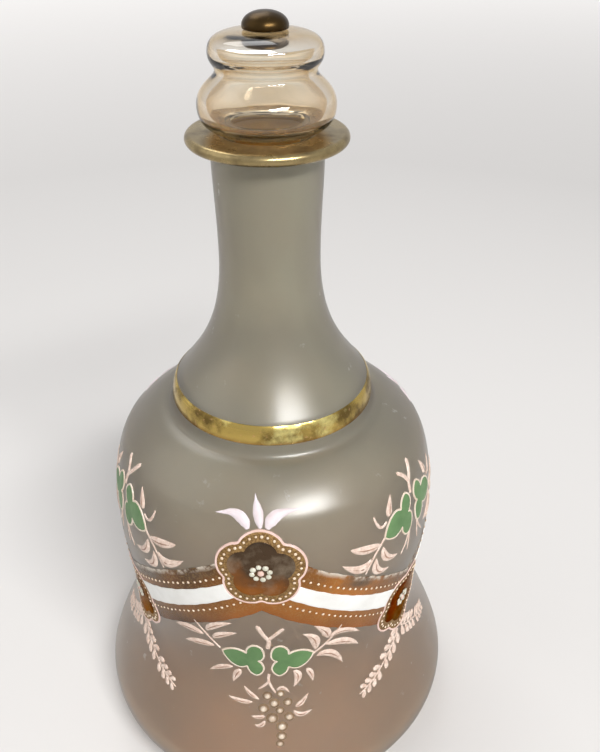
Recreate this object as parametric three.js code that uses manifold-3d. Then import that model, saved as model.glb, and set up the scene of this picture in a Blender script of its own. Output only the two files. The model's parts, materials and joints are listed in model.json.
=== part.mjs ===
// A bell-shaped carafe of frosted blown glass with a hollow-blown clear stopper.
// The neck lip, the neck ring and the stopper's knob are gilt, and raised enamel goes round the body:
// a zigzag ribbon joins six five-lobed medallions, three high and three low, with leaves between them.
// Millimetres, +Z up, the origin at the middle of the base, a high medallion facing -Y.
import * as THREE from "three";
import Module from "manifold-3d";
import { mergeVertices } from "three/addons/utils/BufferGeometryUtils.js";
import { TessellateModifier } from "three/addons/modifiers/TessellateModifier.js";

const wasm = await Module();
wasm.setup();

// The body's outside, from the foot to the lip. Each rise is the height above the place named before it.
const FOOT_RADIUS = 62.8; // the widest place, at the bell's mouth
const FOOT_ROUND = 13; // rounding from the widest place down to the table
const FLARE_LEAN = 18; // degrees that the wall leans in just above the foot
const WAIST_RADIUS = 50;
const WAIST_HEIGHT = 56.7;
const SHOULDER_RADIUS = 52.3;
const SHOULDER_RISE = 31.7;
const SHOULDER_EDGE_RADIUS = 46.2; // where the side turns into the shoulder's top
const SHOULDER_EDGE_RISE = 29.1;
const GROOVE_RADIUS = 33.3; // the soft groove round the neck's foot
const GROOVE_RISE = 8.7;
const RING_RADIUS = 31.1; // the collar that carries the gilt ring
const RING_RISE = 3.8;
const RING_BAND = 5.2;
const RING_LEAN = 0.22; // how much the collar leans in for its height
const NECK_RADIUS = 14.5;
const NECK_RISE = 41.2;
const NECK_FLARE = 0.8; // how much wider the neck is under the lip
const LIP_RADIUS = 21.7;
const LIP_THICKNESS = 2.8;
const LIP_RISE = 34.1;

// The body's inside.
const WALL = 3.2;
const FLOOR = 6; // glass under the contents
const KICK_RADIUS = 38; // the shallow hollow under the foot
const KICK_RISE = 2.2;
const BORE_RADIUS = 11.2;
const BORE_LENGTH = 46; // straight stretch of the bore, down from the lip
const SEAT_LENGTH = 26; // ground stretch at the top, which tapers
const SEAT_TAPER = 0.9; // how much wider the seat is at the lip
const MOUTH_ROUND = 1;

// The stopper.
const PEG_CLEARANCE = 0.3;
const PEG_LENGTH = 41.5;
const PEG_END_RADIUS = 8.4;
const PEG_END_ROUND = 3;
const VENT_RADIUS = 4; // the opening left where the peg came off the pipe
const STOPPER_WALL = 2.6;
const BOWL_RADIUS = 18.1;
const BOWL_HEIGHT = 14.6; // the lower bulge
const STOPPER_WAIST_RADIUS = 13.1;
const CAP_RADIUS = 14.7;
const CAP_HEIGHT = 9.2; // the upper bulge
const KNOB_RADIUS = 5.9;
const KNOB_HEIGHT = 4.3;

// Gilding and enamel are thin layers that stand off the glass by a small gap.
const LAYER_GAP = 0.3;
const GILT_THICKNESS = 0.25;
const ENAMEL_THICKNESS = 0.35;
const LIP_GILT_WIDTH = 4.5; // how far the gilding runs in over the lip's top

// The pattern, laid out flat: u along the wall at the pattern's radius, v up the wall from the waist.
const REPEATS = 3;
const PATTERN_MIDDLE = 25.4;
const MEDALLION_RISE = 38.2; // high medallions above low ones
const MEDALLION_RADIUS = 13.7;
const MEDALLION_NOTCH = 11.7;
const MEDALLION_RIM = 0.9;
const ROSETTE_RADIUS = 2.6;
const ROSETTE_BEAD = 1.25;
const RIBBON_WHITE = 6.2; // widths across the ribbon
const RIBBON_ABOVE = 7;
const RIBBON_BELOW = 7.8;
const RIBBON_DROP = 3; // the ribbon's line passes this far inside each medallion's middle
const LEAF_BELOW = 41.1; // from a high medallion's middle down to its pair of leaves
const LEAF_ABOVE = 41; // from a low medallion's middle up to its pair of leaves
const LEAF_GAP = 1.8; // between the two leaves of a pair
const LEAF_LENGTH = 13.8;
const LEAF_WIDTH = 8.5;
const LEAF_LOBE = 3.3;
const PLUME_LENGTH = 10.4;
const PLUME_WIDTH = 3;
const PLUME_FOOT_SPREAD = 2.9; // from the middle plume's foot to each outer one's
const PLUME_REACH = 11.1; // how far an outer plume leans out
const PLUME_SIDE_RISE = 5.4; // how high an outer plume's tip is

// Fineness of the facets.
const SEGMENTS = 36;
const CURVE_STEPS = 3; // along each curve of a profile
const STRETCH_COLUMNS = 9; // along each stretch of the ribbon
const RIBBON_ROWS = 9;
const LOBE_STEPS = 6; // along each lobe of a medallion
const PATCH_EDGE = 6;

// Colours.
const frosted = new THREE.MeshStandardMaterial({ color: 0xb9b8ab, roughness: 0.55, metalness: 0 });
const clear = new THREE.MeshStandardMaterial({ color: 0xcdb98a, roughness: 0.05, metalness: 0 });
const gilt = new THREE.MeshStandardMaterial({ color: 0xb58a35, roughness: 0.25, metalness: 1 });
const bronze = new THREE.MeshStandardMaterial({ color: 0x8a5428, roughness: 0.3, metalness: 1 });
const white = new THREE.MeshStandardMaterial({ color: 0xf2f1ea, roughness: 0.4, metalness: 0 });
const blush = new THREE.MeshStandardMaterial({ color: 0xeecdbd, roughness: 0.45, metalness: 0 });
const green = new THREE.MeshStandardMaterial({ color: 0x4f8f5c, roughness: 0.4, metalness: 0 });

const radians = THREE.MathUtils.degToRad;
const point = (r, z) => new THREE.Vector2(r, z);

// Heights above the table, and the radius that the pattern's widths are measured at.
const shoulderHeight = WAIST_HEIGHT + SHOULDER_RISE;
const edgeHeight = shoulderHeight + SHOULDER_EDGE_RISE;
const grooveHeight = edgeHeight + GROOVE_RISE;
const ringHeight = grooveHeight + RING_RISE;
const neckHeight = ringHeight + RING_BAND + NECK_RISE;
const lipTop = neckHeight + LIP_RISE;
const patternRadius = (WAIST_RADIUS + SHOULDER_RADIUS) / 2;

// Samples a path's curves, with `steps` points on each, and leaves out repeated ends.
function sampled(path, steps) {
  const points = [];
  path.curves.forEach((curve, i) => {
    const n = curve.isLineCurve ? 1 : steps;
    for (let k = i ? 1 : 0; k <= n; k++) points.push(curve.getPoint(k / n));
  });
  return points;
}

// A closed profile of radius and height, turned about the vertical axis.
function turned(profile) {
  const lathe = new THREE.LatheGeometry(profile, SEGMENTS);
  return lathe.rotateX(Math.PI / 2);
}

// The outside wall, from the flat of the foot up to the neck just under the lip.
function wallPath() {
  const path = new THREE.Path();
  const foot = FOOT_RADIUS - FOOT_ROUND;
  const lean = radians(FLARE_LEAN);
  const bell = point(foot + FOOT_ROUND * Math.cos(lean), FOOT_ROUND * (1 + Math.sin(lean)));
  const bellRise = WAIST_HEIGHT - bell.y;
  const edgeWidth = SHOULDER_RADIUS - SHOULDER_EDGE_RADIUS;
  const topWidth = SHOULDER_EDGE_RADIUS - GROOVE_RADIUS;
  const grooveWidth = GROOVE_RADIUS - RING_RADIUS;
  const bandTop = ringHeight + RING_BAND;
  const coneWidth = RING_RADIUS - NECK_RADIUS;
  const neckTop = lipTop - LIP_THICKNESS;
  path.absarc(foot, FOOT_ROUND, FOOT_ROUND, -Math.PI / 2, 0, false);
  path.absarc(foot, FOOT_ROUND, FOOT_ROUND, 0, lean, false);
  path.bezierCurveTo(
    bell.x - 0.35 * bellRise * Math.sin(lean), bell.y + 0.35 * bellRise * Math.cos(lean),
    WAIST_RADIUS, WAIST_HEIGHT - 0.38 * bellRise,
    WAIST_RADIUS, WAIST_HEIGHT,
  );
  path.bezierCurveTo(
    WAIST_RADIUS, WAIST_HEIGHT + 0.35 * SHOULDER_RISE,
    SHOULDER_RADIUS, shoulderHeight - 0.35 * SHOULDER_RISE,
    SHOULDER_RADIUS, shoulderHeight,
  );
  path.bezierCurveTo(
    SHOULDER_RADIUS, shoulderHeight + 0.45 * SHOULDER_EDGE_RISE,
    SHOULDER_EDGE_RADIUS + 0.7 * edgeWidth, edgeHeight - 0.15 * SHOULDER_EDGE_RISE,
    SHOULDER_EDGE_RADIUS, edgeHeight,
  );
  path.bezierCurveTo(
    SHOULDER_EDGE_RADIUS - 0.25 * topWidth, edgeHeight + 0.4 * GROOVE_RISE,
    GROOVE_RADIUS + 0.34 * topWidth, grooveHeight - 0.03 * GROOVE_RISE,
    GROOVE_RADIUS, grooveHeight,
  );
  path.bezierCurveTo(
    GROOVE_RADIUS - 0.6 * grooveWidth, grooveHeight + 0.1 * RING_RISE,
    RING_RADIUS + 0.15 * grooveWidth, grooveHeight + 0.5 * RING_RISE,
    RING_RADIUS, ringHeight,
  );
  path.lineTo(RING_RADIUS - RING_LEAN * RING_BAND, bandTop);
  path.bezierCurveTo(
    RING_RADIUS - 0.57 * coneWidth, bandTop + 0.25 * NECK_RISE,
    NECK_RADIUS, neckHeight - 0.53 * NECK_RISE,
    NECK_RADIUS, neckHeight,
  );
  path.bezierCurveTo(
    NECK_RADIUS, neckHeight + 0.4 * (neckTop - neckHeight),
    NECK_RADIUS + NECK_FLARE, neckTop - 0.35 * (neckTop - neckHeight),
    NECK_RADIUS + NECK_FLARE, neckTop - LIP_THICKNESS / 2,
  );
  return path;
}

// The lip's round edge, grown by `gap`, from under the lip over to its flat top.
function lipEdge(gap, start, end) {
  const round = LIP_THICKNESS / 2;
  const arc = new THREE.Path();
  arc.absarc(LIP_RADIUS - round, lipTop - round, round + gap, radians(start), radians(end), false);
  return sampled(arc, 4);
}

const seatRadius = (z) =>
  BORE_RADIUS + SEAT_TAPER * THREE.MathUtils.clamp((z - lipTop + SEAT_LENGTH) / SEAT_LENGTH, 0, 1);

// The inside of a wall of even thickness: the outside moved in along its normals,
// less the points that would come too near the outside.
function insideOf(outside, thickness) {
  const inside = outside.map((p, i) => {
    const before = p.clone().sub(outside[Math.max(0, i - 1)]).normalize();
    const after = outside[Math.min(outside.length - 1, i + 1)].clone().sub(p).normalize();
    const along = before.add(after).normalize();
    return point(p.x - thickness * along.y, p.y + thickness * along.x);
  });
  const clearOf = (p) => outside.every((q) => q.distanceTo(p) > 0.97 * thickness);
  return inside.filter(clearOf);
}

const wall = sampled(wallPath(), CURVE_STEPS);

function vesselProfile() {
  const boreEnd = lipTop - BORE_LENGTH;
  const chamber = insideOf(wall, WALL).filter((p) => p.y > FLOOR + 1 && p.y < boreEnd - WALL);
  const floorEdge = point(chamber[0].x - WALL, FLOOR);
  return [
    point(0, KICK_RISE),
    point(0.6 * KICK_RADIUS, 0.7 * KICK_RISE),
    point(KICK_RADIUS, 0),
    ...wall,
    ...lipEdge(0, -70, 90),
    point(seatRadius(lipTop) + MOUTH_ROUND, lipTop),
    point(seatRadius(lipTop), lipTop - MOUTH_ROUND),
    point(BORE_RADIUS, lipTop - SEAT_LENGTH),
    point(BORE_RADIUS, boreEnd),
    ...chamber.reverse(),
    floorEdge,
    point(0, FLOOR),
  ];
}

function lipGildingProfile() {
  const under = -45;
  const outer = lipEdge(LAYER_GAP + GILT_THICKNESS, under, 90);
  const inner = lipEdge(LAYER_GAP, under, 90).reverse();
  const end = LIP_RADIUS - LIP_THICKNESS / 2 - LIP_GILT_WIDTH;
  const top = lipTop + LAYER_GAP;
  return [...outer, point(end, top + GILT_THICKNESS), point(end, top), ...inner, outer[0].clone()];
}

// The gilt ring covers the straight band on the roll.
function neckRingProfile() {
  const edge = 0.3;
  const low = point(RING_RADIUS, ringHeight + edge);
  const high = point(RING_RADIUS - RING_LEAN * (RING_BAND - edge), ringHeight + RING_BAND - edge);
  const near = LAYER_GAP;
  const far = LAYER_GAP + GILT_THICKNESS;
  return [
    point(low.x + near, low.y), point(low.x + far, low.y),
    point(high.x + far, high.y), point(high.x + near, high.y), point(low.x + near, low.y),
  ];
}

// Heights on the stopper, up from the lip.
const bowlFoot = lipTop + LAYER_GAP + GILT_THICKNESS + PEG_CLEARANCE;
const stopperWaist = bowlFoot + BOWL_HEIGHT;
const capTop = stopperWaist + CAP_HEIGHT;
const knobFoot = capTop + PEG_CLEARANCE;

// The stopper's outside, from the rounded end of the peg up to the seat of the knob.
function stopperPath() {
  const end = lipTop - PEG_LENGTH;
  const seatEnd = lipTop - SEAT_LENGTH;
  const peg = (z) => seatRadius(z) - PEG_CLEARANCE;
  const shoulder = KNOB_RADIUS - 0.5;
  const bulge = BOWL_RADIUS - STOPPER_WAIST_RADIUS;
  const path = new THREE.Path();
  path.moveTo(PEG_END_RADIUS - PEG_END_ROUND, end);
  path.absarc(PEG_END_RADIUS - PEG_END_ROUND, end + PEG_END_ROUND, PEG_END_ROUND, -Math.PI / 2, 0, false);
  path.lineTo(peg(seatEnd), seatEnd);
  path.lineTo(peg(lipTop - MOUTH_ROUND), lipTop - MOUTH_ROUND);
  path.lineTo(peg(lipTop), bowlFoot);
  path.bezierCurveTo(
    BOWL_RADIUS - 0.35 * bulge, bowlFoot,
    BOWL_RADIUS, bowlFoot + 0.18 * BOWL_HEIGHT,
    BOWL_RADIUS, bowlFoot + 0.42 * BOWL_HEIGHT,
  );
  path.bezierCurveTo(
    BOWL_RADIUS, bowlFoot + 0.75 * BOWL_HEIGHT,
    STOPPER_WAIST_RADIUS, bowlFoot + 0.86 * BOWL_HEIGHT,
    STOPPER_WAIST_RADIUS, stopperWaist,
  );
  path.bezierCurveTo(
    STOPPER_WAIST_RADIUS, stopperWaist + 0.15 * CAP_HEIGHT,
    CAP_RADIUS, stopperWaist + 0.2 * CAP_HEIGHT,
    CAP_RADIUS, stopperWaist + 0.48 * CAP_HEIGHT,
  );
  path.bezierCurveTo(
    CAP_RADIUS, stopperWaist + 0.9 * CAP_HEIGHT,
    0.75 * CAP_RADIUS, capTop,
    shoulder, capTop,
  );
  return path;
}

function stopperProfile() {
  const outside = sampled(stopperPath(), CURVE_STEPS);
  const end = lipTop - PEG_LENGTH;
  const inside = insideOf(outside, STOPPER_WALL);
  const hollow = inside.filter((p) => p.y > end + PEG_END_ROUND && p.x > VENT_RADIUS);
  return [
    point(VENT_RADIUS, end),
    ...outside,
    point(0, capTop),
    point(0, capTop - STOPPER_WALL),
    ...hollow.reverse(),
    point(VENT_RADIUS, end + STOPPER_WALL),
    point(VENT_RADIUS, end),
  ];
}

function knobProfile() {
  const path = new THREE.Path();
  path.moveTo(0, knobFoot);
  path.lineTo(0.9 * KNOB_RADIUS, knobFoot);
  path.bezierCurveTo(
    KNOB_RADIUS, knobFoot,
    KNOB_RADIUS, knobFoot + 0.1 * KNOB_HEIGHT,
    KNOB_RADIUS, knobFoot + 0.25 * KNOB_HEIGHT,
  );
  path.bezierCurveTo(
    0.95 * KNOB_RADIUS, knobFoot + 0.7 * KNOB_HEIGHT,
    0.55 * KNOB_RADIUS, knobFoot + KNOB_HEIGHT,
    0, knobFoot + KNOB_HEIGHT,
  );
  return sampled(path, CURVE_STEPS);
}

// Lengths up the wall from the waist, for laying the pattern on it.
const wallStops = (() => {
  const stops = [{ p: wall[0], v: 0 }];
  wall.slice(1).forEach((p, i) => stops.push({ p, v: stops[i].v + p.distanceTo(wall[i]) }));
  const fromWaist = (stop) => Math.abs(stop.p.y - WAIST_HEIGHT);
  const waist = stops.reduce((a, b) => (fromWaist(b) < fromWaist(a) ? b : a));
  return stops.map((s) => ({ p: s.p, v: s.v - waist.v }));
})();

// The place on the wall at (u, v) of the flat pattern, `h` off the glass.
function onWall(u, v, h) {
  const i = THREE.MathUtils.clamp(wallStops.findIndex((s) => s.v > v), 1, wallStops.length - 1);
  const [a, b] = [wallStops[i - 1], wallStops[i]];
  const share = (v - a.v) / (b.v - a.v);
  const p = a.p.clone().lerp(b.p, share);
  const along = b.p.clone().sub(a.p).normalize();
  const r = p.x + h * along.y;
  const angle = u / patternRadius;
  return new THREE.Vector3(r * Math.sin(angle), -r * Math.cos(angle), p.y - h * along.x);
}

// Bends a flat solid, whose depth is its height off the glass, onto the wall.
function bentOnWall(flat) {
  const fine = new TessellateModifier(PATCH_EDGE, 8).modify(flat.index ? flat.toNonIndexed() : flat);
  const place = fine.getAttribute("position");
  for (let i = 0; i < place.count; i++) {
    const p = onWall(place.getX(i), place.getY(i), place.getZ(i));
    place.setXYZ(i, p.x, p.y, p.z);
  }
  return fine;
}

function layer(shape, base, thickness, steps = 4) {
  const options = { depth: thickness, bevelEnabled: false, curveSegments: steps };
  const flat = new THREE.ExtrudeGeometry(shape, options);
  return bentOnWall(flat.translate(0, 0, base));
}

const onGlass = LAYER_GAP;
const onGilt = 2 * LAYER_GAP + GILT_THICKNESS;
const onPlaque = onGilt + ENAMEL_THICKNESS + LAYER_GAP;

// A medallion stands at each end of each ribbon stretch; `side` is 1 for a high one and -1 for a low one.
const medallions = Array.from({ length: 2 * REPEATS }, (_, i) => {
  const side = i % 2 ? -1 : 1;
  const pitch = (Math.PI * patternRadius) / REPEATS;
  return { u: i * pitch, v: PATTERN_MIDDLE + (side * MEDALLION_RISE) / 2, side };
});
const pitch = medallions[1].u;
const ribbonRise = MEDALLION_RISE - 2 * RIBBON_DROP;
const ribbonLean = Math.atan2(ribbonRise, pitch);

// Five round lobes about a medallion's middle, each an arc from notch to notch.
function lobed(m, inset, Kind = THREE.Shape) {
  const notch = MEDALLION_NOTCH - inset;
  const reach = MEDALLION_RADIUS - inset;
  const half = Math.PI / 5;
  const out = notch * Math.cos(half);
  const centre = (reach ** 2 - notch ** 2) / (2 * (reach - out));
  const spread = Math.atan2(notch * Math.sin(half), out - centre);
  const points = [];
  for (let k = 0; k < 5; k++) {
    const axis = (m.side * Math.PI) / 2 + 2 * half * k;
    const middle = point(m.u + centre * Math.cos(axis), m.v + centre * Math.sin(axis));
    for (let s = 0; s < LOBE_STEPS; s++) {
      const angle = axis - spread + (2 * spread * s) / LOBE_STEPS;
      points.push(point(Math.cos(angle), Math.sin(angle)).multiplyScalar(reach - centre).add(middle));
    }
  }
  return new Kind(points);
}

function plaque(m) {
  return layer(lobed(m, MEDALLION_RIM + LAYER_GAP), onGilt, ENAMEL_THICKNESS);
}

// A solid of manifold-3d from a closed geometry, and back.
function solidOf(geometry) {
  const bare = new THREE.BufferGeometry().setAttribute("position", geometry.getAttribute("position"));
  bare.setIndex(geometry.index);
  const merged = mergeVertices(bare, 1e-4);
  const vertProperties = merged.getAttribute("position").array;
  const triVerts = new Uint32Array(merged.index.array);
  return new wasm.Manifold(new wasm.Mesh({ numProp: 3, vertProperties, triVerts }));
}

function geometryOf(solid) {
  const mesh = solid.getMesh();
  return new THREE.BufferGeometry()
    .setAttribute("position", new THREE.BufferAttribute(new Float32Array(mesh.vertProperties), 3))
    .setIndex(new THREE.BufferAttribute(new Uint32Array(mesh.triVerts), 1));
}

// Eight petals that run into each other round a raised middle.
function rosette(m) {
  const shape = new THREE.Shape();
  const petals = 8;
  const at = (radius, k) => {
    const angle = (k / petals) * 2 * Math.PI;
    return [m.u + radius * Math.cos(angle), m.v + radius * Math.sin(angle)];
  };
  const near = ROSETTE_RADIUS;
  const far = ROSETTE_RADIUS + ROSETTE_BEAD;
  shape.moveTo(...at(near, -0.5));
  for (let k = 0; k < petals; k++) {
    shape.bezierCurveTo(...at(far, k - 0.45), ...at(far, k + 0.45), ...at(near, k + 0.5));
  }
  return layer(shape, onPlaque, ENAMEL_THICKNESS, 3);
}

// The height of the ribbon's line at u: down from each high medallion and up again from each low one.
function ribbonLine(u) {
  const along = THREE.MathUtils.euclideanModulo(u, 2 * pitch);
  const share = Math.min(along, 2 * pitch - along) / pitch;
  return PATTERN_MIDDLE + ribbonRise * (0.5 - share);
}

// A thin plate on the wall from a grid of flat places: `place(s, t)` gives u and v for shares of its sides.
function plate(columns, rows, base, thickness, closed, place) {
  const position = [];
  const last = closed ? columns - 1 : columns;
  for (let c = 0; c <= last; c++) {
    for (const h of [base, base + thickness]) {
      for (let k = 0; k <= rows; k++) {
        const p = place(c / columns, k / rows);
        position.push(...onWall(p.x, p.y, h).toArray());
      }
    }
  }
  const index = [];
  const id = (c, side, k) => ((closed ? c % columns : c) * 2 + side) * (rows + 1) + k;
  const quad = (a, b, c, d) => index.push(a, b, c, a, c, d);
  for (let c = 0; c < columns; c++) {
    for (let k = 0; k < rows; k++) {
      quad(id(c, 1, k), id(c + 1, 1, k), id(c + 1, 1, k + 1), id(c, 1, k + 1));
      quad(id(c, 0, k), id(c, 0, k + 1), id(c + 1, 0, k + 1), id(c + 1, 0, k));
    }
    quad(id(c, 0, 0), id(c + 1, 0, 0), id(c + 1, 1, 0), id(c, 1, 0));
    quad(id(c, 1, rows), id(c + 1, 1, rows), id(c + 1, 0, rows), id(c, 0, rows));
  }
  for (let k = 0; k < rows && !closed; k++) {
    quad(id(0, 0, k), id(0, 1, k), id(0, 1, k + 1), id(0, 0, k + 1));
    quad(id(columns, 0, k), id(columns, 0, k + 1), id(columns, 1, k + 1), id(columns, 1, k));
  }
  return new THREE.BufferGeometry()
    .setAttribute("position", new THREE.Float32BufferAttribute(position, 3))
    .setIndex(index);
}

// The gilt ground of the ribbon, one closed zigzag round the body.
function ribbonGround() {
  const tall = 1 / Math.cos(ribbonLean);
  const above = (RIBBON_WHITE / 2 + RIBBON_ABOVE) * tall;
  const below = (RIBBON_WHITE / 2 + RIBBON_BELOW) * tall;
  return plate(2 * REPEATS * STRETCH_COLUMNS, RIBBON_ROWS, onGlass, GILT_THICKNESS, true, (s, t) => {
    const u = s * 2 * REPEATS * pitch;
    return point(u, ribbonLine(u) - below + (above + below) * t);
  });
}

// The white stripe between two medallions, hollowed round at both ends to clear them.
function whiteStripe(i) {
  const m = medallions[i];
  const direction = -m.side * ribbonLean;
  const start = point(m.u, m.v - m.side * RIBBON_DROP);
  const length = pitch / Math.cos(ribbonLean);
  const clearance = MEDALLION_RADIUS + LAYER_GAP + RIBBON_DROP;
  return plate(STRETCH_COLUMNS, 2, onGilt, ENAMEL_THICKNESS, false, (s, t) => {
    const across = (t - 0.5) * RIBBON_WHITE;
    const end = Math.sqrt(clearance ** 2 - across ** 2);
    const along = end + (length - 2 * end) * s;
    return point(along, across).rotateAround(point(0, 0), direction).add(start);
  });
}

// A leaf of three lobes, its point outwards; `hand` is 1 on the right of the pair and -1 on the left.
function leaf(m, hand) {
  const v = m.side > 0 ? m.v - LEAF_BELOW : m.v + LEAF_ABOVE;
  const inner = m.u + (hand * LEAF_GAP) / 2;
  const at = (x, y) => [inner + hand * x, v + m.side * y];
  const tip = [LEAF_LENGTH, 0.25 * LEAF_WIDTH];
  const neck = 2.1 * LEAF_LOBE;
  const half = LEAF_WIDTH / 2;
  const shape = new THREE.Shape();
  shape.moveTo(...at(...tip));
  shape.bezierCurveTo(
    ...at(0.9 * LEAF_LENGTH, 0.8 * half),
    ...at(0.65 * LEAF_LENGTH, 1.15 * half),
    ...at(neck, 0.75 * half),
  );
  shape.bezierCurveTo(
    ...at(neck, 2.6 * LEAF_LOBE),
    ...at(0, 2.6 * LEAF_LOBE),
    ...at(0, LEAF_LOBE),
  );
  shape.bezierCurveTo(
    ...at(0, 0.6 * LEAF_LOBE), ...at(0.3 * LEAF_LOBE, 0.2 * LEAF_LOBE), ...at(0.6 * LEAF_LOBE, 0),
  );
  shape.bezierCurveTo(
    ...at(0.3 * LEAF_LOBE, -0.2 * LEAF_LOBE), ...at(0, -0.6 * LEAF_LOBE), ...at(0, -LEAF_LOBE),
  );
  shape.bezierCurveTo(
    ...at(0, -2.6 * LEAF_LOBE),
    ...at(neck, -2.6 * LEAF_LOBE),
    ...at(neck, -0.75 * half),
  );
  shape.bezierCurveTo(
    ...at(0.65 * LEAF_LENGTH, -1.15 * half),
    ...at(0.9 * LEAF_LENGTH, -0.8 * half),
    ...at(...tip),
  );
  return layer(shape, onGlass, ENAMEL_THICKNESS, 4);
}

// A pointed plume that springs from the top of a high medallion's rim: `bend` is -1 for the left one, 0 for
// the middle one and 1 for the right one.
function plume(m, bend) {
  const foot = MEDALLION_RADIUS - MEDALLION_RIM;
  const side = PLUME_WIDTH / 2;
  const reach = bend ? PLUME_REACH : 0;
  const rise = bend ? PLUME_SIDE_RISE : PLUME_LENGTH;
  const hand = bend || 1;
  const at = (x, y) => [m.u + PLUME_FOOT_SPREAD * bend + hand * x, m.v + foot + y];
  const tip = at(reach, rise);
  const shape = new THREE.Shape();
  shape.moveTo(...at(0, 0));
  shape.bezierCurveTo(...at(2 * side, 0.1 * rise), ...at(reach / 2 + 2 * side, 0.4 * rise), ...tip);
  shape.bezierCurveTo(...at(reach / 5 - 1.2 * side, 0.9 * rise), ...at(-side, 0.2 * rise), ...at(0, 0));
  return layer(shape, onGilt, ENAMEL_THICKNESS, 3);
}

// The raised rim of a medallion. Three plumes spring from the top of a high one.
function rim(m) {
  const shape = lobed(m, 0);
  shape.holes.push(lobed(m, MEDALLION_RIM, THREE.Path));
  const ring = solidOf(layer(shape, onGilt, ENAMEL_THICKNESS));
  if (m.side < 0) {
    return geometryOf(ring);
  }
  const plumes = [-1, 0, 1].map((bend) => solidOf(plume(m, bend)));
  return geometryOf(plumes.reduce((all, one) => all.add(one), ring));
}

function mesh(name, geometry, material) {
  const made = new THREE.Mesh(geometry, material);
  made.name = name;
  return made;
}

const body = new THREE.Group();
body.add(mesh("vessel", turned(vesselProfile()), frosted));
body.add(mesh("lip_gilding", turned(lipGildingProfile()), gilt));
body.add(mesh("neck_ring_gilding", turned(neckRingProfile()), gilt));
body.add(mesh("ribbon_gilding", ribbonGround(), bronze));
medallions.forEach((m, i) => {
  const place = `${m.side > 0 ? "high" : "low"}_${Math.floor(i / 2) + 1}`;
  body.add(mesh(`medallion_plaque_${place}`, plaque(m), bronze));
  body.add(mesh(`medallion_rim_${place}`, rim(m), blush));
  body.add(mesh(`medallion_rosette_${place}`, rosette(m), white));
  body.add(mesh(`ribbon_stripe_${i + 1}`, whiteStripe(i), white));
  body.add(mesh(`leaf_left_${place}`, leaf(m, -1), green));
  body.add(mesh(`leaf_right_${place}`, leaf(m, 1), green));
});

const stopper = new THREE.Group();
stopper.add(mesh("stopper_glass", turned(stopperProfile()), clear));
stopper.add(mesh("stopper_knob", turned(knobProfile()), gilt));

const carafe = new THREE.Group();
carafe.add(body, stopper);

export default carafe;
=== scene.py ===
# %% [markdown]
# # A bell-shaped carafe with raised enamel
# The real object is blown glass. Its outside is etched to a soft satin, the lip, a ring round the neck and
# the stopper's knob are gilt, and a zigzag ribbon of copper-brown gold runs round the body. The ribbon joins
# six five-lobed medallions, and sprays with green leaves and grapes are painted between them in raised
# enamel. A hollow clear stopper stands in the neck.
#
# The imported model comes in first, as a fixed frame that gives the places and sizes.

# %% Load the frame
import json
import math
import random
import bpy
import numpy as np
from mathutils import Matrix, Vector
from mathutils.geometry import interpolate_bezier

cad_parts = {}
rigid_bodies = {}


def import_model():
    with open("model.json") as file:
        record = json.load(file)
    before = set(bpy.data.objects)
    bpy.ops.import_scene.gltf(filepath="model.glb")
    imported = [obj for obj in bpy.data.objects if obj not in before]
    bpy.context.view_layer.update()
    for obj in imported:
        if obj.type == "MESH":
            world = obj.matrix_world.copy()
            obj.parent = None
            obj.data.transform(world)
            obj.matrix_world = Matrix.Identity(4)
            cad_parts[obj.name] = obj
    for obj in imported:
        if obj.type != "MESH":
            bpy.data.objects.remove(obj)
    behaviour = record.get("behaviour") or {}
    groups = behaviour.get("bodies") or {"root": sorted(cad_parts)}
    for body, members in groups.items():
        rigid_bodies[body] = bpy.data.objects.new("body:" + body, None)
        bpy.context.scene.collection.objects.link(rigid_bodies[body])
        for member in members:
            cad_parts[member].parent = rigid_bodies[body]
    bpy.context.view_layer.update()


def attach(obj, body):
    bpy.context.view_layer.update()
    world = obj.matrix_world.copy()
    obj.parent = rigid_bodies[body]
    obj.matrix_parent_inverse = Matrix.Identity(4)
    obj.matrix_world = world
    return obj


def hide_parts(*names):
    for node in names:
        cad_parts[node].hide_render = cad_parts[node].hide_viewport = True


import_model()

MM = 0.001

# %% [markdown]
# ## The camera
# The photograph looks down on the shoulder at about 34 degrees. The camera's place and lens come from the
# ellipses of the lip and the neck ring. It stands a little to the right of the medallion that faces it.

# %% Place the camera
TURN = math.radians(2.5)
PITCH = math.radians(33.52)
ROLL = math.radians(0.12)
bpy.ops.object.select_all(action="DESELECT")
bpy.ops.object.camera_add()
camera = bpy.context.object
stand = Vector((8.7, -214.5, 275.4)) * MM
turn = Matrix.Rotation(TURN, 4, "Z")
aim = Matrix.Rotation(math.pi / 2 - PITCH, 4, "X") @ Matrix.Rotation(ROLL, 4, "Z")
camera.matrix_world = turn @ Matrix.Translation(stand) @ aim
camera.data.sensor_fit = "VERTICAL"
camera.data.sensor_height = 36
camera.data.lens = 39.26
camera.data.clip_start = 0.01
bpy.context.scene.camera = camera
print("the camera stands at", tuple(round(c, 4) for c in camera.matrix_world.translation))

# %% [markdown]
# ## The wall
# Everything painted on the body follows the wall's curve, so the wall's line is worked out once, in
# millimetres, with many more points than the plain model has. A place on the wall is then given by two
# lengths, as on a sheet of paper wrapped round it: along (u) and up from the waist (v), and by its height
# off the glass (h).

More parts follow.
